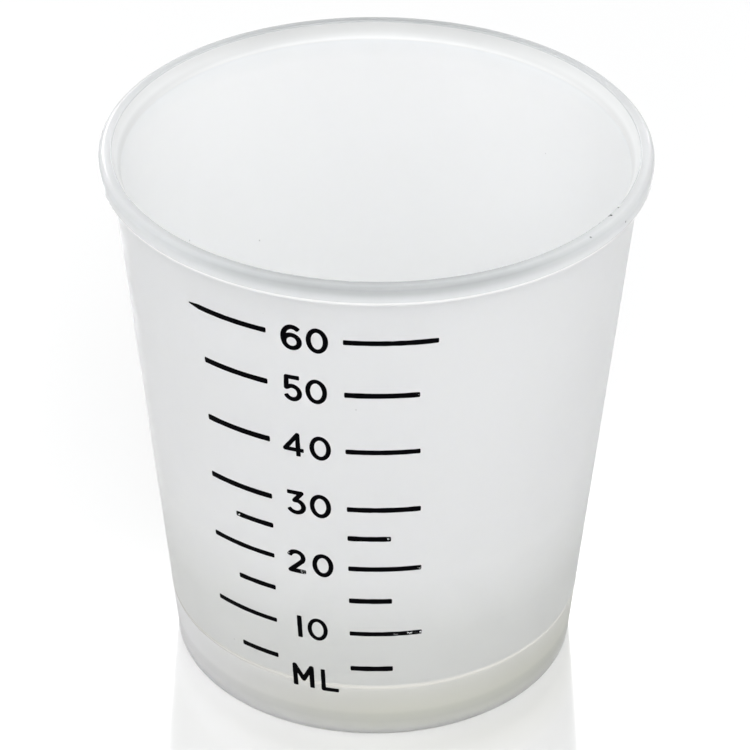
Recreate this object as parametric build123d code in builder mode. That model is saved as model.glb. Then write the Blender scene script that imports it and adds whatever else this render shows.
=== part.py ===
from build123d import *
from math import asin, cbrt, degrees, pi, radians, tan
import os

# A 60 ml graduated dispensing cup, moulded in one shot in natural polypropylene.
# Millimetres. The origin is the centre of the base, +Z is up, and the printed scale faces -Y.

# Wall: the outside and the inside have their own draft, so the wall thins towards the mouth
base_diameter = 39.2
outer_draft_angle = 5.6
inner_draft_angle = 6.31
wall_at_foot = 1.6

# Floor, and the foot ring under it with the mark of the injection gate at its centre
floor_top = 4.0
floor_thickness = 1.6
floor_corner_radius = 1.8
foot_ring_width = 1.9
foot_ring_draft = 0.2
foot_edge_chamfer = 0.3
gate_mark_diameter = 1.6
gate_mark_height = 0.35

# Flange round the mouth: a low ring with well rounded outer edges, a narrow flat land on top
# and a flare that leads down from the land to the inside wall
flange_overhang = 1.17
flange_height = 2.02
flange_edge_radius = 0.65
flange_root_chamfer = 0.25
land_width = 0.57
flare_depth = 1.6

# Printed scale, in two columns. The columns' ends are measured from the middle plane of the
# cup, and the print leans a little to the left. The film of ink lies a hair off the wall.
centimetre = 10.0
headroom = 4.59
ink_thickness = 0.03
ink_clearance = 0.03
line_stroke = 0.53
fives_line_length = 4.05
tens_line_length = 6.85
full_line_length = 8.6
left_column_end = 8.92
right_column_start = 2.03
print_lean_angle = 1.0

# The counts of millilitres that are marked, by the length of their line
fives_mark_counts = (5, 15, 25)
tens_mark_counts = (10, 20, 30, 40, 50)
full_mark_count = 60

# Inside and outside cones
base_radius = base_diameter / 2
outer_slope = tan(radians(outer_draft_angle))
inner_slope = tan(radians(inner_draft_angle))
inner_base_radius = base_radius - wall_at_foot
floor_radius = inner_base_radius + inner_slope * floor_top


def outer_radius(height):
    return base_radius + outer_slope * height


def inner_radius(height):
    return inner_base_radius + inner_slope * height


# Volume law of the scale. The inside is a cone from the floor up, less the ring that the
# rounded floor corner fills, so the height of a level follows from the volume below it.
millilitre = centimetre**3
corner_section = (1 - pi / 4) * floor_corner_radius**2
corner_centroid_share = (10 - 3 * pi) / (12 - 3 * pi)
corner_ring_radius = floor_radius - floor_corner_radius * corner_centroid_share
corner_ring_volume = 2 * pi * corner_ring_radius * corner_section


def level_height(marked):
    """Height over the base of the surface of this many millilitres."""
    cone_volume = marked * millilitre + corner_ring_volume
    level_radius = cbrt(floor_radius**3 + 3 * inner_slope * cone_volume / pi)
    return floor_top + (level_radius - floor_radius) / inner_slope


# The top mark sits a set headroom under the flange, so the capacity sets the cup's height
flange_underside = level_height(full_mark_count) + headroom
cup_height = flange_underside + flange_height
rim_radius = outer_radius(flange_underside) + flange_overhang
land_inner_radius = rim_radius - flange_edge_radius - land_width

# Corners of the half section, as (distance from the axis, height)
recess_height = floor_top - floor_thickness
recess_radius = base_radius - foot_ring_width
recess_corner = (recess_radius - foot_ring_draft, recess_height)
foot_inner_edge = (recess_radius, 0)
foot_outer_edge = (base_radius, 0)
flange_root = (outer_radius(flange_underside), flange_underside)
flange_lower_edge = (rim_radius, flange_underside)
flange_upper_edge = (rim_radius, cup_height)
land_inner_edge = (land_inner_radius, cup_height)
flare_foot = (inner_radius(cup_height - flare_depth), cup_height - flare_depth)
floor_corner = (floor_radius, floor_top)

# The cup: its half section is turned round the axis
with BuildPart() as cup_body:
    with BuildSketch(Plane.XZ) as half_section:
        with BuildLine():
            Polyline(
                (0, recess_height),
                recess_corner,
                foot_inner_edge,
                foot_outer_edge,
                flange_root,
                flange_lower_edge,
                flange_upper_edge,
                land_inner_edge,
                flare_foot,
                floor_corner,
                (0, floor_top),
                (0, recess_height),
            )
        make_face()
        fillet(half_section.vertices().sort_by_distance(floor_corner)[0], radius=floor_corner_radius)
        for edge_corner in (flange_lower_edge, flange_upper_edge):
            fillet(half_section.vertices().sort_by_distance(edge_corner)[0], radius=flange_edge_radius)
        for edge_corner in (foot_inner_edge, foot_outer_edge):
            chamfer(half_section.vertices().sort_by_distance(edge_corner)[0], length=foot_edge_chamfer)
        chamfer(half_section.vertices().sort_by_distance(flange_root)[0], length=flange_root_chamfer)
    revolve(axis=Axis.Z)
    # The gate mark is a low nub under the floor, well inside the foot ring
    with BuildSketch(Plane.XY.offset(recess_height)):
        Circle(gate_mark_diameter / 2)
    extrude(amount=-gate_mark_height)


def printed_line(height, length, side):
    """One scale line: a film of ink that lies on the conical wall."""
    radius = outer_radius(height) + ink_clearance
    lean = height * tan(radians(print_lean_angle))
    arc = degrees(length / radius)
    if side == "left":
        start_angle = -degrees(asin((left_column_end + lean) / radius)) - arc
    else:
        start_angle = -degrees(asin((right_column_start + lean) / radius))
    section_plane = Plane(
        origin=(0, 0, height),
        x_dir=Vector(0, -1, 0).rotate(Axis.Z, start_angle),
        z_dir=Vector(-1, 0, 0).rotate(Axis.Z, start_angle),
    )
    with BuildPart() as line:
        with BuildSketch(section_plane):
            with Locations(Location((radius, 0), -outer_draft_angle)):
                Rectangle(ink_thickness, line_stroke, align=(Align.MIN, Align.CENTER))
        revolve(axis=Axis.Z, revolution_arc=arc)
    return line.part


os.makedirs("parts", exist_ok=True)

cup_body.part.label = "cup_body"
export_step(cup_body.part, "parts/cup_body.step")
print(f"height {cup_height:.2f} mm, rim {2 * rim_radius:.2f} mm across")
print(f"plastic {cup_body.part.volume / millilitre:.2f} ml")

line_lengths = dict.fromkeys(fives_mark_counts, fives_line_length)
line_lengths |= dict.fromkeys(tens_mark_counts, tens_line_length)
line_lengths[full_mark_count] = full_line_length
for marked, line_length in line_lengths.items():
    level = level_height(marked)
    print(f"{marked} ml at {level:.2f} mm")
    for side in ("left", "right"):
        line_part = printed_line(level, line_length, side)
        line_part.label = f"line_{side}_{marked}"
        export_step(line_part, f"parts/{line_part.label}.step")
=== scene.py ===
import bpy
import math
from mathutils import Matrix, Vector, noise
from mathutils.geometry import delaunay_2d_cdt


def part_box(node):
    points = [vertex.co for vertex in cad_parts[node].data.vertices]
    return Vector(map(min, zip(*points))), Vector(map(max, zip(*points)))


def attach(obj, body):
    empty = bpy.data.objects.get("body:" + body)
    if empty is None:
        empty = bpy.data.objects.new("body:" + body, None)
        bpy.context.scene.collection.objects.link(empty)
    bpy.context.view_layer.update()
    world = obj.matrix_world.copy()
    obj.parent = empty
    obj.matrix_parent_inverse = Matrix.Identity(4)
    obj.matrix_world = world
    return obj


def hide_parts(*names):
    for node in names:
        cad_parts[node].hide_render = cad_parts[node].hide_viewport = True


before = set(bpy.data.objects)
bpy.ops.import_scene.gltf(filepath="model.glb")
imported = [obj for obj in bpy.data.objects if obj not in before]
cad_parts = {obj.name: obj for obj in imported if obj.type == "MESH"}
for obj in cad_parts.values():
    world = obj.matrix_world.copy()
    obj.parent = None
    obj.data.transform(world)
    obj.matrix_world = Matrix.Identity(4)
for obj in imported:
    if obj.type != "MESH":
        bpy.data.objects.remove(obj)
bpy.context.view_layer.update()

# Metres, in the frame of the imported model. Sizes of the moulding are written in millimetres.
MM = 0.001
_, cup_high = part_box("cup_body")
cup_height = cup_high.z
rim_radius = cup_high.x

# Moulded section
base_radius = 19.6 * MM
outer_draft_angle = 5.6
inner_draft_angle = 6.31
wall_at_foot = 1.6 * MM
floor_top = 4.0 * MM
recess_height = 2.4 * MM
recess_radius = 17.7 * MM
recess_draft = 0.2 * MM
gate_mark_radius = 0.8 * MM
gate_mark_height = 0.35 * MM
gate_mark_round = 0.1 * MM
recess_round = 0.6 * MM
foot_inner_round = 0.35 * MM
foot_outer_round = 0.3 * MM
floor_corner_radius = 1.8 * MM
flange_height = 2.02 * MM
flange_edge_radius = 0.65 * MM
flange_root_round = 0.25 * MM
land_width = 0.57 * MM
land_inner_round = 0.1 * MM
flare_depth = 1.6 * MM
flare_foot_round = 0.6 * MM
outer_slope = math.tan(math.radians(outer_draft_angle))
inner_slope = math.tan(math.radians(inner_draft_angle))
inner_base_radius = base_radius - wall_at_foot

# Witness line of the mould: a fine raised line round the foot
foot_line_height = 6.15 * MM
foot_line_width = 0.45 * MM
witness_rise = 0.03 * MM
witness_round = 0.05 * MM

# How finely the section is divided: its long runs, those of the flange and of the wall just
# below it, the degrees of its arcs, and its turn round the axis
longest_section_run = 2.0 * MM
longest_flange_run = 0.1 * MM
fine_below_flange = 1.0 * MM
longest_arc_step = 12
turn_segments = 288
# An arc takes at most this share of the straight runs that it joins
longest_arc_share = 0.6
# A point this near the axis lies on it
on_axis = 1e-6 * MM

# Painted light and shade on the solid foot: lighter and greyer on the left than on the right, and
# its line fades there
foot_left_painted_light = 0.27
foot_left_painted_grey = 1.1
foot_right_painted_shade = 0.05
foot_line_tone = 0.95
foot_line_painted_shade = 0.23

# Painted light and shade along the flange's section, by the run in millimetres from its root out
# round the ring, over the land and down the flare, which ends at the inside wall: painted shade on
# the ring and land, and a painted highlight at the flare's foot. The first tone is that of the
# cup's front and back, the second that of its sides, which are painted lighter.
flange_end_run = 5.68
flange_painted_shading = (
    (1.4, 1.0, 1.0),
    (2.2, 0.61, 0.9),
    (2.6, 0.47, 0.82),
    (3.1, 0.6, 0.93),
    (3.7, 0.49, 0.88),
    (4.1, 0.62, 0.86),
    (4.8, 0.7, 0.94),
    (5.2, 0.8, 0.82),
    (5.5, 0.98, 0.8),
    (flange_end_run, 0.86, 0.86),
    (5.9, 0.9, 0.94),
    (8.0, 1.0, 1.0),
)
# Painted highlights of the flange, as runs along the same section, which take the brighter
# edge zone: at its underside, and the flare
painted_highlight_runs = ((0.75, 1.35), (3.98, flange_end_run))

# Ink of the printed scale: its film, and how far and over what length its strokes spread
ink_thickness = 0.03 * MM
ink_clearance = 0.03 * MM
ink_wander_share = 0.09
ink_wander_length = 0.8 * MM
# Steps along a stroke, and in degrees along the arcs of a character, and the sides of the
# round joints between steps. A stroke whose ends lie closer than joined_ends is a ring.
longest_ink_step = 0.25 * MM
longest_glyph_arc_step = 9
joint_sides = 20
joined_ends = 0.001 * MM
# Points of the flat print that lie closer than this, in millimetres, are one
joined_points = 1e-4
# Blunt ends of the strokes: half superellipses, whose length is a share of the half width
blunt_end_share = 0.45
blunt_end_power = 3.2
blunt_end_steps = 10
# The print leans a little to the left
print_lean_angle = 1.0
lean_slope = math.tan(math.radians(print_lean_angle))

numeral_height = 2.33 * MM
# Each tens digit: the height of its middle over the base, how far left of the cup's middle
# plane it and its zero stand, and the width of the two digits' strokes, in millimetres
numerals = {
    "6": (47.57, 6.65, 4.34, 0.49, 0.47),
    "5": (41.80, 6.66, 4.53, 0.47, 0.45),
    "4": (35.26, 6.74, 4.32, 0.44, 0.44),
    "3": (28.37, 6.70, 4.45, 0.46, 0.46),
    "2": (21.18, 6.78, 4.38, 0.48, 0.46),
    "1": (13.05, 6.74, 5.05, 0.47, 0.42),
}
# The unit's letters: the height of their middles, and in millimetres how far left each
# stands and the width of its strokes
unit_height = 6.73 * MM
unit_places = {"M": (6.54, 0.48), "L": (3.97, 0.44)}

# Each line as it was printed: how far it sits above its true level, and its stroke, in mm
line_prints = {
    "left_5": (-0.05, 0.54), "right_5": (-0.02, 0.58),
    "left_10": (0.13, 0.51), "right_10": (0.10, 0.51),
    "left_15": (0.14, 0.56), "right_15": (0.11, 0.58),
    "left_20": (0.18, 0.53), "right_20": (0.15, 0.55),
    "left_25": (0.11, 0.57), "right_25": (0.08, 0.58),
    "left_30": (0.03, 0.60), "right_30": (-0.05, 0.57),
    "left_40": (0.0, 0.62), "right_40": (-0.08, 0.53),
    "left_50": (0.26, 0.59), "right_50": (0.05, 0.57),
    "left_60": (0.03, 0.56), "right_60": (-0.05, 0.53),
}
# One line is pointed at its left end: over what length, and what share of its width it loses
tapered_mark = "left_60"
line_tip_length = 1.2 * MM
line_tip_taper = 0.8

# Ink: its colours, sheen and mottle, and the scratches of worn ink, as noise per metre. They
# show the plastic where they and the wear add up past bare_from, and wholly past bare_at.
ink_blacks = ((0, 0, 1), (7, 7, 9))
bare_colour = (225, 226, 226)
ink_roughness = 0.5
ink_gloss = 0.01
mottle_scale = 900
scratch_scale = 5200
bare_from = 1.06
bare_at = 1.16

# Worn spots of the print: where from the middle of the mark, how wide, how high and how deep
worn_spots = {
    "right_10": (
        (1.0 * MM, 0, 0.9 * MM, 0.3 * MM, 0.58),
        (2.3 * MM, 0, 1.2 * MM, 0.3 * MM, 0.64),
        (3.25 * MM, 0, 0.4 * MM, 0.4 * MM, 0.68),
    ),
    "right_20": ((3.4 * MM, 0, 0.9 * MM, 0.9 * MM, 0.6),),
    "right_25": ((1.8 * MM, 0, 0.45 * MM, 0.45 * MM, 0.66),),
    "right_50": ((3.3 * MM, 0, 0.35 * MM, 0.35 * MM, 0.58),),
    "left_25": ((-1.75 * MM, 0, 0.45 * MM, 0.45 * MM, 0.66),),
    "20_tens": (
        (-0.75 * MM, 0.85 * MM, 0.5 * MM, 0.5 * MM, 0.5),
        (0.5 * MM, -1.2 * MM, 0.95 * MM, 0.95 * MM, 0.6),
    ),
}

# Dirt on the rim at the right, as (degrees from the front, radius, height, size, tone), and
# the share of a speck's size over which its edge is soft
rim_specks = (
    (58.5, 24.86 * MM, cup_height, 0.12 * MM, 0.03),
    (58.0, 24.75 * MM, cup_height, 0.09 * MM, 0.2),
    (62.1, 24.8 * MM, cup_height, 0.09 * MM, 0.15),
    (54.4, 24.65 * MM, cup_height, 0.1 * MM, 0.2),
    (60.6, 25.9 * MM, 53.53 * MM, 0.1 * MM, 0.3),
    (48.8, 25.5 * MM, 54.31 * MM, 0.1 * MM, 0.4),
)
rim_speck_edge = 0.4
# Specks of dust in the plastic: cells that can each hold one, the share of them that do, the
# largest speck and its soft edge in cells, and the tone of a speck
speck_cells_per_metre = 600
speck_share = 0.12
largest_speck = 0.06
speck_edge = 0.01
speck_darkness = 0.7

# Colour of the plastic at heights in millimetres over the base, outside and inside. Outside,
# it carries painted shade, darker down the wall and in the foot, and painted light at the
# bottom edge; inside, it is a little darker towards the bottom.
outside_colours_and_painted_shading = (
    (0.0, (246, 247, 242)),
    (0.9, (223, 224, 216)),
    (1.7, (210, 211, 203)),
    (2.5, (211, 212, 203)),
    (3.0, (222, 222, 213)),
    (5.8, (226, 226, 220)),
    (6.5, (218, 219, 217)),
    (12.0, (222, 223, 221)),
    (20.0, (244, 245, 244)),
    (30.0, (249, 251, 252)),
    (54.0, (250, 253, 255)),
)
inside_colours = (
    (3.0, (242, 243, 241)),
    (20.0, (247, 248, 247)),
    (30.0, (249, 251, 252)),
    (54.0, (250, 253, 255)),
)
# The plastic by zones of the surface: its colours, transmission, roughness, scattering and
# gloss, and how much less blue it is
zones = {
    "wall": (outside_colours_and_painted_shading, 0.3, 0.4, 1.0, 0.5, 0.0),
    "inside": (inside_colours, 0.0, 0.4, 1.0, 0.5, 0.0),
    "flange": (outside_colours_and_painted_shading, 0.3, 0.1, 1.0, 0.2, 0.0),
    "foot": (outside_colours_and_painted_shading, 0.3, 0.4, 1.0, 0.5, 0.0),
    # The edge zone is a brighter copy of the plastic: a painted highlight on the foot's line and
    # the flange's bright runs
    "edge": (outside_colours_and_painted_shading, 0.0, 0.4, 0.45, 0.5, 0.04),
}
# Texture of the plastic, as noise per metre: smudges of tone, haze of roughness and grain of
# relief, with the span of the noise that each uses and how far it goes
smudge_scale = 130
smudge_span = (0.35, 0.65)
darkest_smudge = 0.98
haze_scale = 180
haze_span = (0.3, 0.7)
haze_spread = 0.15
grain_scale = 220
grain_strength = 0.1
grain_depth = 0.02 * MM
# How polypropylene bends light, and how far light scatters in it, the blue a little less
refraction = 1.49
scatter_depth = 4.0 * MM
scatter_by_colour = (1.0, 1.0, 0.95)

# Studio: an even tent of light round the cup, as (name, place in metres, size, power in watts)
fill_strength = 0.36
fill_colour = (0.98, 0.99, 1.0, 1)
softboxes = (
    ("softbox_front", (0.1, -0.6, 0.8), 0.7, 4.3),
    ("softbox_back", (0.1, 0.6, 0.8), 0.7, 1.0),
    ("softbox_left", (-0.65, 0.0, 0.8), 0.7, 2.3),
    ("softbox_low_front", (0.0, -0.75, 0.25), 0.7, 1.35),
    ("softbox_low_left", (-0.75, 0.0, 0.25), 0.7, 0.85),
    ("softbox_low_right", (0.75, 0.0, 0.25), 0.7, 1.05),
    ("rim_light_left", (-0.3, 0.83, 0.43), 0.3, 0.9),
    ("rim_light_right", (0.3, 0.83, 0.43), 0.3, 0.2),
)

# Table: side in metres, white, glow where it is seen, and the share and roughness of its gloss
table_side = 3.0
table_white = 0.72
table_glow = 0.46
table_gloss = 0.5
table_roughness = 0.1

# The photograph's camera: place, aim and lens found from the cup's edges
camera_distance = 300.85 * MM
camera_height = 223.44 * MM
camera_pitch = 32.921
camera_roll = 0.319
camera_focal_pixels = 3700.8
image_size = 750
sensor_width = 36.0
camera_clip_start = 10 * MM
camera_clip_end = 10.0


def outer_radius(height):
    return base_radius + outer_slope * height


def inner_radius(height):
    return inner_base_radius + inner_slope * height


def new_object(name, data):
    obj = bpy.data.objects.new(name, data)
    bpy.context.scene.collection.objects.link(obj)
    return obj


# Profile helpers
def rounded_outline(corners):
    """Points of an outline whose corners, given as (x, y, radius), are rounded by arcs."""
    points = []
    for index, (x, y, radius) in enumerate(corners):
        here = Vector((x, y))
        if radius == 0 or index in (0, len(corners) - 1):
            points.append(here)
            continue
        to_last = Vector(corners[index - 1][:2]) - here
        to_next = Vector(corners[index + 1][:2]) - here
        half_turn = (math.pi - to_last.angle(to_next)) / 2
        reach = radius * math.tan(half_turn)
        reach = min(reach, longest_arc_share * to_last.length, longest_arc_share * to_next.length)
        radius = reach / math.tan(half_turn)
        start = here + to_last.normalized() * reach
        end = here + to_next.normalized() * reach
        inward = (to_last.normalized() + to_next.normalized()).normalized()
        centre = here + inward * (radius / math.cos(half_turn))
        steps = max(2, math.ceil(2 * half_turn / math.radians(longest_arc_step)))
        arm_start, arm_end = start - centre, end - centre
        sweep = arm_start.angle_signed(arm_end)
        for step in range(steps + 1):
            turned = Matrix.Rotation(-sweep * step / steps, 2) @ arm_start
            points.append(centre + turned)
    return points


def cup_section():
    """The half section of the cup, from the axis under the floor round to the floor's top."""
    underside = cup_height - flange_height
    land_inner_radius = rim_radius - flange_edge_radius - land_width
    foot_line_low = foot_line_height - foot_line_width / 2
    foot_line_high = foot_line_height + foot_line_width / 2
    corners = [
        (0, recess_height - gate_mark_height, 0),
        (gate_mark_radius, recess_height - gate_mark_height, gate_mark_round),
        (gate_mark_radius, recess_height, gate_mark_round),
        (recess_radius - recess_draft, recess_height, recess_round),
        (recess_radius, 0, foot_inner_round),
        (base_radius, 0, foot_outer_round),
        (outer_radius(foot_line_low), foot_line_low, witness_round),
        (outer_radius(foot_line_height) + witness_rise, foot_line_height, witness_round),
        (outer_radius(foot_line_high), foot_line_high, witness_round),
        (outer_radius(underside), underside, flange_root_round),
        (rim_radius, underside, flange_edge_radius),
        (rim_radius, cup_height, flange_edge_radius),
        (land_inner_radius, cup_height, land_inner_round),
        (inner_radius(cup_height - flare_depth), cup_height - flare_depth, flare_foot_round),
        (inner_radius(floor_top), floor_top, floor_corner_radius),
        (0, floor_top, 0),
    ]
    return rounded_outline(corners)


def evenly_divided(path, longest):
    """The same path with every step cut into equal ones that are no longer than this."""
    divided = [path[0]]
    for start, end in zip(path, path[1:]):
        parts = max(1, math.ceil((end - start).length / longest))
        divided += [start.lerp(end, part / parts) for part in range(1, parts + 1)]
    return divided


def long_runs_divided(points):
    """The same outline with its long straight runs cut into shorter ones, finely at the flange."""
    points = evenly_divided(points, longest_section_run)
    divided = [points[0]]
    for start, end in zip(points, points[1:]):
        near_flange = max(start.y, end.y) > cup_height - flange_height - fine_below_flange
        longest = longest_flange_run if near_flange else longest_section_run
        divided += evenly_divided([start, end], longest)[1:]
    return divided


def painted_light_at(run, height, angle):
    """The painted light and shade of the plastic at a run in millimetres past the flange's root,
    a height, and an angle from +X round the axis: the foot lighter on its left, the foot's line
    fading there, and the flange darker at the cup's front and back than at its sides."""
    across = math.cos(angle)
    if run < 0 and abs(height - foot_line_height) < foot_line_width / 2:
        return foot_line_tone - foot_line_painted_shade * max(0, -across)
    if run < 0 and height < foot_line_height:
        return 1 + foot_left_painted_light * max(0, -across) ** 4 - foot_right_painted_shade * max(0, across) ** 2
    for (start, *low), (end, *high) in zip(flange_painted_shading, flange_painted_shading[1:]):
        if run <= end:
            share = max(0.0, run - start) / (end - start)
            front, side = (first + (last - first) * share for first, last in zip(low, high))
            return front + (side - front) * across**2
    return 1.0


def painted_grey_at(height, angle):
    """How grey the plastic is painted, from 0 to 1: painted light on the left of the foot only."""
    if height >= foot_line_height:
        return 0.0
    return min(1.0, foot_left_painted_grey * max(0.0, -math.cos(angle)))


def flange_runs(section):
    """How far each point of the section lies past the flange's root, negative before it."""
    root = Vector((outer_radius(cup_height - flange_height), cup_height - flange_height))
    root_index = min(range(len(section)), key=lambda index: (section[index] - root).length)
    runs = [0.0]
    for last, point in zip(section, section[1:]):
        runs.append(runs[-1] + (point - last).length)
    return [(run - runs[root_index]) / MM for run in runs]


def revolved_mesh(name, section, runs, materials):
    """A closed body of revolution from a section whose two ends lie on the axis. Each point
    of the section has its run past the flange's root, and each step to the next its material."""
    verts, faces, vertex_painted_light, vertex_painted_greys, face_materials = [], [], [], [], []
    rings = []
    for (x, z), run in zip(section, runs):
        if x < on_axis:
            rings.append([len(verts)])
            verts.append((0, 0, z))
            vertex_painted_light.append(1.0)
            vertex_painted_greys.append(0.0)
            continue
        ring = []
        for segment in range(turn_segments):
            angle = 2 * math.pi * segment / turn_segments
            ring.append(len(verts))
            verts.append((x * math.cos(angle), x * math.sin(angle), z))
            vertex_painted_light.append(painted_light_at(run, z, angle))
            vertex_painted_greys.append(painted_grey_at(z, angle))
        rings.append(ring)
    for low, high, material in zip(rings, rings[1:], materials):
        face_materials += [material] * turn_segments
        for segment in range(turn_segments):
            after = (segment + 1) % turn_segments
            if len(low) == 1:
                faces.append((low[0], high[after], high[segment]))
            elif len(high) == 1:
                faces.append((low[segment], low[after], high[0]))
            else:
                faces.append((low[segment], low[after], high[after], high[segment]))
    mesh = bpy.data.meshes.new(name)
    mesh.from_pydata(verts, [], faces)
    # The tone and grey attributes carry the painted light and shade of the foot and the flange
    mesh.attributes.new("tone", "FLOAT", "POINT").data.foreach_set("value", vertex_painted_light)
    mesh.attributes.new("grey", "FLOAT", "POINT").data.foreach_set("value", vertex_painted_greys)
    mesh.polygons.foreach_set("material_index", face_materials)
    mesh.polygons.foreach_set("use_smooth", [True] * len(faces))
    mesh.update()
    return mesh


# Node helpers
def emptied_tree(owner):
    """The node tree of a material or a world, with none of the nodes that it starts with."""
    owner.use_nodes = True
    owner.node_tree.nodes.clear()
    return owner.node_tree


def new_material(name):
    material = bpy.data.materials.new(name)
    tree = emptied_tree(material)
    output = tree.nodes.new("ShaderNodeOutputMaterial")
    shader = tree.nodes.new("ShaderNodeBsdfPrincipled")
    tree.links.new(shader.outputs["BSDF"], output.inputs["Surface"])
    return material, tree, shader


def srgb(red, green, blue):
    """The linear colour of three display values from 0 to 255."""
    linear = []
    for value in (red, green, blue):
        share = value / 255
        linear.append(share / 12.92 if share <= 0.04045 else ((share + 0.055) / 1.055) ** 2.4)
    return (*linear, 1.0)


def object_point(tree):
    """The shaded point in the object's own space."""
    return tree.nodes.new("ShaderNodeTexCoord").outputs["Object"]


def attribute(tree, name):
    """A number that the mesh keeps at its vertices."""
    node = tree.nodes.new("ShaderNodeAttribute")
    node.attribute_name = name
    return node.outputs["Fac"]


def noise_node(tree, point, scale, detail, roughness=0.5):
    node = tree.nodes.new("ShaderNodeTexNoise")
    node.inputs["Scale"].default_value = scale
    node.inputs["Detail"].default_value = detail
    node.inputs["Roughness"].default_value = roughness
    tree.links.new(point, node.inputs["Vector"])
    return node.outputs["Fac"]


def map_range(tree, value, from_low, from_high, to_low, to_high):
    node = tree.nodes.new("ShaderNodeMapRange")
    node.inputs["From Min"].default_value = from_low
    node.inputs["From Max"].default_value = from_high
    node.inputs["To Min"].default_value = to_low
    node.inputs["To Max"].default_value = to_high
    tree.links.new(value, node.inputs["Value"])
    return node.outputs["Result"]


def math_node(tree, operation, first, second):
    node = tree.nodes.new("ShaderNodeMath")
    node.operation = operation
    tree.links.new(first, node.inputs[0])
    tree.links.new(second, node.inputs[1])
    return node.outputs[0]


def multiplied(tree, first, second):
    return math_node(tree, "MULTIPLY", first, second)


def speck_tone(tree, point):
    """Dark where one of the few specks of dust in the plastic comes to the surface."""
    cells = tree.nodes.new("ShaderNodeTexVoronoi")
    cells.inputs["Scale"].default_value = speck_cells_per_metre
    tree.links.new(point, cells.inputs["Vector"])
    kept = tree.nodes.new("ShaderNodeSeparateColor")
    tree.links.new(cells.outputs["Color"], kept.inputs["Color"])
    size = map_range(tree, kept.outputs["Red"], 1 - speck_share, 1, 0, largest_speck)
    near = math_node(tree, "SUBTRACT", cells.outputs["Distance"], size)
    return map_range(tree, near, -speck_edge, speck_edge, speck_darkness, 1)


def rim_speck_tone(tree, point):
    """Dark at the few spots of dirt that lie on the rim."""
    tone = None
    for degrees, radius, height, size, darkness in rim_specks:
        angle = math.radians(degrees)
        away = tree.nodes.new("ShaderNodeVectorMath")
        away.operation = "DISTANCE"
        tree.links.new(point, away.inputs[0])
        away.inputs[1].default_value = (radius * math.sin(angle), -radius * math.cos(angle), height)
        inner, outer = (1 - rim_speck_edge) * size, (1 + rim_speck_edge) * size
        speck = map_range(tree, away.outputs["Value"], inner, outer, darkness, 1)
        tone = multiplied(tree, tone, speck) if tone else speck
    return tone


def plastic_colour(tree, point, colours):
    """The colour of the plastic by its height, with its painted shade, turned grey as far as the
    mesh says, which is painted light on the left of the foot.
    """
    split = tree.nodes.new("ShaderNodeSeparateXYZ")
    tree.links.new(point, split.inputs["Vector"])
    height = map_range(tree, split.outputs["Z"], 0, cup_height, 0, 1)
    ramp = tree.nodes.new("ShaderNodeValToRGB")
    tree.links.new(height, ramp.inputs["Fac"])
    elements = ramp.color_ramp.elements
    while len(elements) < len(colours):
        elements.new(0.5)
    for element, (level, colour) in zip(elements, colours):
        element.position = level * MM / cup_height
        element.color = srgb(*colour)
    uncoloured = tree.nodes.new("ShaderNodeRGBToBW")
    tree.links.new(ramp.outputs["Color"], uncoloured.inputs["Color"])
    mix = tree.nodes.new("ShaderNodeMixRGB")
    tree.links.new(attribute(tree, "grey"), mix.inputs["Fac"])
    tree.links.new(ramp.outputs["Color"], mix.inputs["Color1"])
    tree.links.new(uncoloured.outputs["Val"], mix.inputs["Color2"])
    return mix.outputs["Color"]


def plastic_tone_and_painted_light(tree, point):
    """The painted light and shade that the mesh keeps, darker at smudges, at dust in the plastic
    and at dirt.
    """
    smudge = noise_node(tree, point, smudge_scale, detail=5, roughness=0.6)
    tone = map_range(tree, smudge, *smudge_span, darkest_smudge, 1)
    for other in (speck_tone(tree, point), rim_speck_tone(tree, point), attribute(tree, "tone")):
        tone = multiplied(tree, tone, other)
    return tone


def polypropylene_material(name, colours, transmission, roughness, scattering, gloss, warmth):
    """Natural polypropylene: milky, satin, a little bluish above and yellowish in the foot."""
    material, tree, shader = new_material(name)
    point = object_point(tree)
    toned = tree.nodes.new("ShaderNodeVectorMath")
    toned.operation = "SCALE"
    tree.links.new(plastic_colour(tree, point, colours), toned.inputs[0])
    tree.links.new(plastic_tone_and_painted_light(tree, point), toned.inputs["Scale"])
    warmed = tree.nodes.new("ShaderNodeVectorMath")
    warmed.operation = "MULTIPLY"
    tree.links.new(toned.outputs["Vector"], warmed.inputs[0])
    warmed.inputs[1].default_value = (1, 1 - warmth / 2, 1 - warmth)
    tree.links.new(warmed.outputs["Vector"], shader.inputs["Base Color"])
    haze = noise_node(tree, point, haze_scale, detail=4)
    smoothest, roughest = (1 - haze_spread) * roughness, (1 + haze_spread) * roughness
    hazy = map_range(tree, haze, *haze_span, smoothest, roughest)
    tree.links.new(hazy, shader.inputs["Roughness"])
    grain = tree.nodes.new("ShaderNodeBump")
    grain.inputs["Strength"].default_value = grain_strength
    grain.inputs["Distance"].default_value = grain_depth
    tree.links.new(noise_node(tree, point, grain_scale, detail=1), grain.inputs["Height"])
    tree.links.new(grain.outputs["Normal"], shader.inputs["Normal"])
    shader.inputs["IOR"].default_value = refraction
    shader.inputs["Specular IOR Level"].default_value = gloss
    shader.inputs["Transmission Weight"].default_value = transmission
    shader.inputs["Subsurface Weight"].default_value = scattering
    shader.inputs["Subsurface Radius"].default_value = scatter_by_colour
    shader.inputs["Subsurface Scale"].default_value = scatter_depth
    return material


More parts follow.
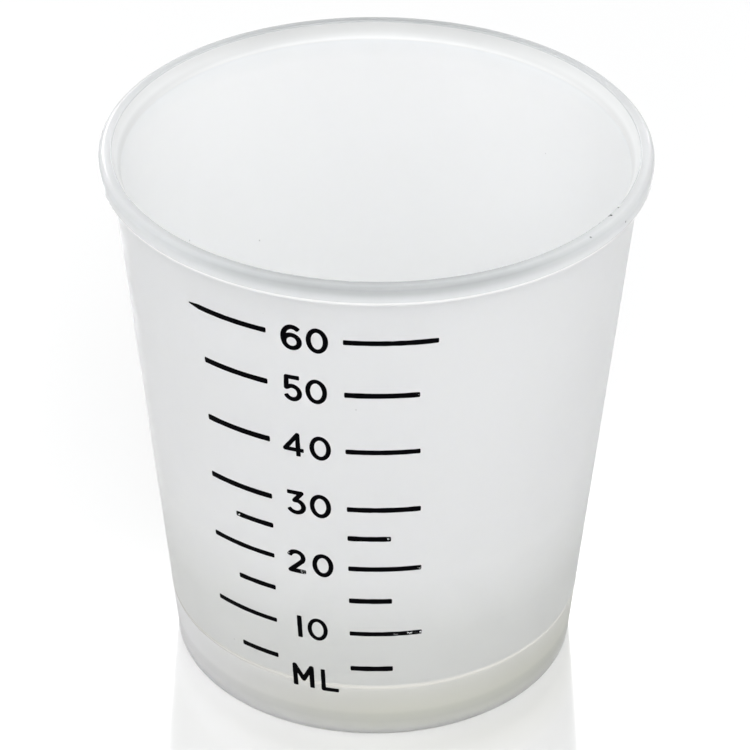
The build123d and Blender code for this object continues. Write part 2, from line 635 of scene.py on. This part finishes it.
def ink_material():
    """Black pad-printing ink. Where the mesh says that it is worn, scratches show plastic."""
    material, tree, shader = new_material("black_ink")
    point = object_point(tree)
    black = tree.nodes.new("ShaderNodeValToRGB")
    tree.links.new(noise_node(tree, point, mottle_scale, detail=4), black.inputs["Fac"])
    for element, colour in zip(black.color_ramp.elements, ink_blacks):
        element.color = srgb(*colour)
    scratches = noise_node(tree, point, scratch_scale, detail=3, roughness=0.7)
    total = math_node(tree, "ADD", attribute(tree, "wear"), scratches)
    mix = tree.nodes.new("ShaderNodeMixRGB")
    tree.links.new(map_range(tree, total, bare_from, bare_at, 0, 1), mix.inputs["Fac"])
    tree.links.new(black.outputs["Color"], mix.inputs["Color1"])
    mix.inputs["Color2"].default_value = srgb(*bare_colour)
    tree.links.new(mix.outputs["Color"], shader.inputs["Base Color"])
    shader.inputs["Roughness"].default_value = ink_roughness
    shader.inputs["Specular IOR Level"].default_value = ink_gloss
    return material


# Printing: strokes are drawn flat, in metres along and up the wall, then wrapped on the cone
def on_wall(angle, height, lift):
    """The point on the outside wall at this azimuth from -Y and this height, raised off it."""
    radius = outer_radius(height) + lift
    return (radius * math.sin(angle), -radius * math.cos(angle), height)


def line(*points):
    return [Vector(point) for point in points]


def arc(centre, radii, start, end):
    """Points of an elliptical arc between two angles in degrees."""
    steps = max(2, math.ceil(abs(end - start) / longest_glyph_arc_step))
    points = []
    for step in range(steps + 1):
        angle = math.radians(start + (end - start) * step / steps)
        x = centre[0] + radii[0] * math.cos(angle)
        y = centre[1] + radii[1] * math.sin(angle)
        points.append(Vector((x, y)))
    return points


def blunt_end(tip, along, half):
    """A half superellipse that closes a stroke: nearly square, with soft corners."""
    across = Vector((-along.y, along.x))
    outline = []
    for step in range(blunt_end_steps + 1):
        angle = math.pi * (step / blunt_end_steps - 0.5)
        reach = abs(math.cos(angle)) ** (2 / blunt_end_power) * blunt_end_share * half
        side = math.copysign(abs(math.sin(angle)) ** (2 / blunt_end_power), math.sin(angle)) * half
        outline.append(tip + along * reach + across * side)
    return outline


def stroke_pieces(path, width, seed, tip_taper=0.0):
    """Convex pieces that cover a stroke whose width wanders a little, as ink spreads."""
    path = evenly_divided(path, longest_ink_step)
    halves = []
    run = 0.0
    for last, point in zip([path[0]] + path, path):
        run += (point - last).length
        spot = Vector((point.x / ink_wander_length, point.y / ink_wander_length, seed))
        wander = noise.noise(spot)
        tapered = 1 - tip_taper * max(0.0, 1 - run / line_tip_length)
        halves.append(width / 2 * (1 + ink_wander_share * wander) * tapered)
    pieces = []
    for start, end, half_start, half_end in zip(path, path[1:], halves, halves[1:]):
        along = (end - start).normalized()
        across = Vector((-along.y, along.x))
        pieces.append([start - across * half_start, end - across * half_end, end, start])
        pieces.append([start, end, end + across * half_end, start + across * half_start])
    for joint, half in list(zip(path, halves))[1:-1]:
        pieces.append([
            joint + Vector((math.cos(a), math.sin(a))) * half
            for a in (2 * math.pi * side / joint_sides for side in range(joint_sides))
        ])
    closed = (path[0] - path[-1]).length < joined_ends
    if closed:
        return pieces
    pieces.append(blunt_end(path[0], (path[0] - path[1]).normalized(), halves[0]))
    pieces.append(blunt_end(path[-1], (path[-1] - path[-2]).normalized(), halves[-1]))
    return pieces


def wear_at(mark, x, y):
    """How worn the ink of this mark is at a point, from 0 to 1."""
    worn = 0.0
    for spot_x, spot_y, width, height, depth in worn_spots.get(mark, ()):
        distance = math.hypot((x - spot_x) / width, (y - spot_y) / height)
        worn = max(worn, depth * math.sqrt(max(0.0, 1 - distance)))
    return worn


def printed(mark, ink, pieces, middle_angle, middle_height):
    """A thin solid on the wall that covers the flat pieces, which lie round (0, 0)."""
    flat, faces = [], []
    for piece in pieces:
        faces.append(list(range(len(flat), len(flat) + len(piece))))
        flat += [point / MM for point in piece]
    # Triangles are kept only where a piece covers them
    inside_only = 1
    points, _, triangles, _, _, covered_by = delaunay_2d_cdt(
        flat, [], faces, inside_only, joined_points
    )
    triangles = [triangle for triangle, pieces_over in zip(triangles, covered_by) if pieces_over]
    edges = {edge for t in triangles for edge in zip(t, t[1:] + t[:1])}
    rim = [(a, b) for a, b in edges if (b, a) not in edges]
    used = sorted({index for triangle in triangles for index in triangle})
    place = {index: order for order, index in enumerate(used)}
    radius = outer_radius(middle_height)
    verts, wear = [], []
    for lift in (ink_clearance, ink_clearance + ink_thickness):
        for index in used:
            x, y = points[index] * MM
            angle = middle_angle + (x - y * lean_slope) / radius
            verts.append(on_wall(angle, middle_height + y, lift))
            wear.append(wear_at(mark, x, y))
    count = len(used)
    flat_faces = [tuple(place[index] for index in triangle) for triangle in triangles]
    solid = [tuple(count + index for index in face) for face in flat_faces]
    solid += [tuple(reversed(face)) for face in flat_faces]
    solid += [(place[a], place[b], count + place[b], count + place[a]) for a, b in sorted(rim)]
    mesh = bpy.data.meshes.new("print_" + mark)
    mesh.from_pydata(verts, [], solid)
    mesh.attributes.new("wear", "FLOAT", "POINT").data.foreach_set("value", wear)
    mesh.materials.append(ink)
    mesh.update()
    piece = new_object("print_" + mark, mesh)
    # The film is too thin to shade the plastic that it lies on
    piece.visible_shadow = False
    piece.visible_diffuse = False
    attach(piece, "root")
    return piece


# Centre lines of the characters, in shares of their height
glyph_strokes = {
    "0": [arc((0.335, 0.5), (0.335, 0.5), 0, 360)],
    "1": [line((0, 1.07), (0, 0))],
    "2": [arc((0.30, 0.71), (0.29, 0.29), 160, -38) + line((0.02, 0), (0.63, 0))],
    "3": [
        line((0.03, 1.01), (0.58, 1.01), (0.28, 0.61))
        + arc((0.32, 0.31), (0.32, 0.31), 82, -150)
    ],
    "4": [line((0.54, 0), (0.54, 1.03), (0, 0.27), (0.73, 0.27))],
    "5": [
        line((0.54, 1.07), (0.06, 1.07), (0.03, 0.54))
        + arc((0.27, 0.32), (0.29, 0.32), 130, -152)
    ],
    "6": [arc((0.38, 0.49), (0.38, 0.52), 52, 200), arc((0.34, 0.31), (0.31, 0.31), 0, 360)],
    "M": [line((0, 0), (0, 1.05), (0.36, 0.36), (0.72, 1.05), (0.72, 0))],
    "L": [line((0, 1.03), (0, 0), (0.60, 0))],
}


def glyph(mark, ink, character, height, place, width):
    """A printed character whose middle is this far left of the cup's middle plane."""
    strokes = [[point * numeral_height for point in path] for path in glyph_strokes[character]]
    reach = [point for path in strokes for point in path]
    middle = Vector((
        (min(point.x for point in reach) + max(point.x for point in reach)) / 2,
        (min(point.y for point in reach) + max(point.y for point in reach)) / 2,
    ))
    pieces = []
    for path in strokes:
        pieces += stroke_pieces([point - middle for point in path], width, height / MM)
    angle = -math.asin((place + height * lean_slope) / outer_radius(height))
    printed(mark, ink, pieces, angle, height)


def scale_line(mark, ink):
    """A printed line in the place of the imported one."""
    rise, stroke = (length * MM for length in line_prints[mark])
    corners = [v.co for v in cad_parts["line_" + mark].data.vertices]
    angles = [math.atan2(corner.x, -corner.y) for corner in corners]
    heights = [corner.z for corner in corners]
    height = (min(heights) + max(heights)) / 2 + rise
    length = (max(angles) - min(angles)) * outer_radius(height)
    end = length / 2 - blunt_end_share * stroke / 2
    tip_taper = line_tip_taper if mark == tapered_mark else 0.0
    pieces = stroke_pieces(line((-end, 0), (end, 0)), stroke, height / MM + min(angles), tip_taper)
    piece = printed(mark, ink, pieces, (min(angles) + max(angles)) / 2, height)
    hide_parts("line_" + mark)


def print_scale(ink):
    for mark in line_prints:
        scale_line(mark, ink)
    for tens, (height, tens_place, zero_place, tens_stroke, zero_stroke) in numerals.items():
        glyph(tens + "0_tens", ink, tens, height * MM, tens_place * MM, tens_stroke * MM)
        glyph(tens + "0_zero", ink, "0", height * MM, zero_place * MM, zero_stroke * MM)
    for letter, (place, stroke) in unit_places.items():
        glyph("unit_" + letter, ink, letter, unit_height, place * MM, stroke * MM)


# Stage
def floor_material():
    """White glossy table: white where it is bare, with the cup's shadow and its reflection."""
    material = bpy.data.materials.new("white_table")
    tree = emptied_tree(material)
    output = tree.nodes.new("ShaderNodeOutputMaterial")
    matte = tree.nodes.new("ShaderNodeBsdfDiffuse")
    matte.inputs["Color"].default_value = (table_white, table_white, table_white, 1)
    glow = tree.nodes.new("ShaderNodeEmission")
    glow.inputs["Color"].default_value = (1, 1, 1, 1)
    path = tree.nodes.new("ShaderNodeLightPath")
    seen = math_node(
        tree, "MAXIMUM", path.outputs["Is Camera Ray"], path.outputs["Is Transmission Ray"]
    )
    tree.links.new(map_range(tree, seen, 0, 1, 0, table_glow), glow.inputs["Strength"])
    add = tree.nodes.new("ShaderNodeAddShader")
    tree.links.new(matte.outputs["BSDF"], add.inputs[0])
    tree.links.new(glow.outputs["Emission"], add.inputs[1])
    gloss = tree.nodes.new("ShaderNodeBsdfGlossy")
    gloss.inputs["Roughness"].default_value = table_roughness
    mix = tree.nodes.new("ShaderNodeMixShader")
    mix.inputs["Fac"].default_value = table_gloss
    tree.links.new(add.outputs["Shader"], mix.inputs[1])
    tree.links.new(gloss.outputs["BSDF"], mix.inputs[2])
    tree.links.new(mix.outputs["Shader"], output.inputs["Surface"])
    return material


def make_floor():
    mesh = bpy.data.meshes.new("table_top")
    half = table_side / 2
    corners = [(-half, -half, 0), (half, -half, 0), (half, half, 0), (-half, half, 0)]
    mesh.from_pydata(corners, [], [(0, 1, 2, 3)])
    floor = new_object("table_top", mesh)
    mesh.materials.append(floor_material())


def make_world():
    world = bpy.data.worlds.new("studio")
    bpy.context.scene.world = world
    tree = emptied_tree(world)
    output = tree.nodes.new("ShaderNodeOutputWorld")
    fill = tree.nodes.new("ShaderNodeBackground")
    fill.inputs["Color"].default_value = fill_colour
    fill.inputs["Strength"].default_value = fill_strength
    white = tree.nodes.new("ShaderNodeBackground")
    white.inputs["Color"].default_value = (1, 1, 1, 1)
    white.inputs["Strength"].default_value = 1.0
    path = tree.nodes.new("ShaderNodeLightPath")
    seen = math_node(tree, "MAXIMUM", path.outputs["Is Camera Ray"], path.outputs["Is Glossy Ray"])
    seen = math_node(tree, "MAXIMUM", seen, path.outputs["Is Transmission Ray"])
    mix = tree.nodes.new("ShaderNodeMixShader")
    tree.links.new(seen, mix.inputs["Fac"])
    tree.links.new(fill.outputs["Background"], mix.inputs[1])
    tree.links.new(white.outputs["Background"], mix.inputs[2])
    tree.links.new(mix.outputs["Shader"], output.inputs["Surface"])


def make_softbox(name, place, size, power):
    light = bpy.data.lights.new(name, "AREA")
    light.shape = "DISK"
    light.size = size
    light.energy = power
    lamp = new_object(name, light)
    lamp.location = place
    aim = Vector((0, 0, cup_height / 2)) - Vector(place)
    lamp.rotation_euler = aim.to_track_quat("-Z", "Y").to_euler()


def make_camera():
    camera = bpy.data.cameras.new("camera")
    camera.sensor_width = sensor_width
    camera.lens = camera_focal_pixels * sensor_width / image_size
    camera.clip_start = camera_clip_start
    camera.clip_end = camera_clip_end
    eye = new_object("camera", camera)
    eye.matrix_world = (
        Matrix.Translation((0, -camera_distance, camera_height))
        @ Matrix.Rotation(math.radians(90 - camera_pitch), 4, "X")
        @ Matrix.Rotation(math.radians(camera_roll), 4, "Z")
    )
    bpy.context.scene.camera = eye


def zone_at(height, run):
    """The zone of the cup's surface at this height and run past the flange's root."""
    on_foot_line = run < 0 and abs(height - foot_line_height) < foot_line_width / 2
    # The foot's line and the flange's bright runs are painted highlights in the edge zone
    if on_foot_line or any(start < run < end for start, end in painted_highlight_runs):
        return "edge"
    if run > 0:
        return "flange" if run < flange_end_run else "inside"
    return "wall" if height > foot_line_height else "foot"


def make_cup():
    section = long_runs_divided(cup_section())
    runs = flange_runs(section)
    materials = []
    for start, end, start_run, end_run in zip(section, section[1:], runs, runs[1:]):
        middle = (start + end) / 2
        zone = zone_at(middle.y, (start_run + end_run) / 2)
        materials.append(list(zones).index(zone))
    mesh = revolved_mesh("cup", section, runs, materials)
    for zone, look in zones.items():
        mesh.materials.append(polypropylene_material("polypropylene_" + zone, *look))
    cup = new_object("cup", mesh)
    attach(cup, "root")
    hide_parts("cup_body")


make_camera()
make_world()
for name, place, size, power in softboxes:
    make_softbox(name, place, size, power)
make_floor()
make_cup()
print_scale(ink_material())

bpy.context.scene.view_settings.view_transform = "Standard"
